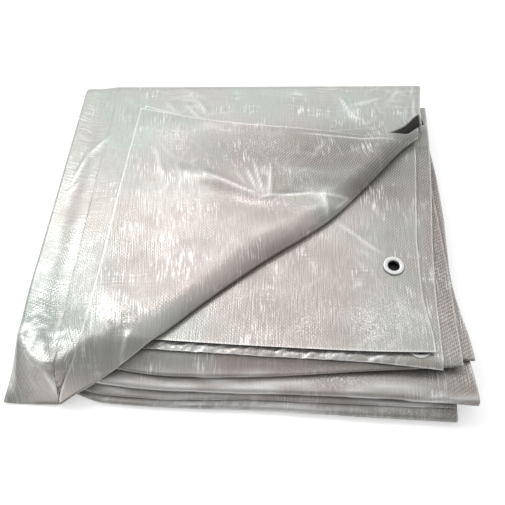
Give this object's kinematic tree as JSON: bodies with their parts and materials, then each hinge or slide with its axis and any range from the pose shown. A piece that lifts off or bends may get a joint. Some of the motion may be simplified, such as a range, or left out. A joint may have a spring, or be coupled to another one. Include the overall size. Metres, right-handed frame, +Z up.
{
  "type": "folded tarpaulin",
  "caption": "Silver coated tarpaulin folded into a flat square package, one corner of the top plies turned back diagonally, with metal eyelets in its hems.",
  "frame": {"origin": "on the surface that it rests on, under the middle of the package", "axes": "+X to the right along the front edge, +Y to the back, +Z up"},
  "size_m": [0.4566, 0.428, 0.059],
  "materials": {
    "coated_cloth": "silver coated woven film, glossy and crinkled on the outside, visible weave on the underside",
    "hem_cloth": "doubled and heat sealed silver woven film, weave showing",
    "eyelet_metal": "rolled bright aluminium"
  },
  "bodies": {
    "root": {"tarp_cloth": "coated_cloth", "hem_upper": "hem_cloth", "hem_lower": "hem_cloth", "eyelet_upper": "eyelet_metal", "eyelet_lower": "eyelet_metal"}
  },
  "joints": []
}
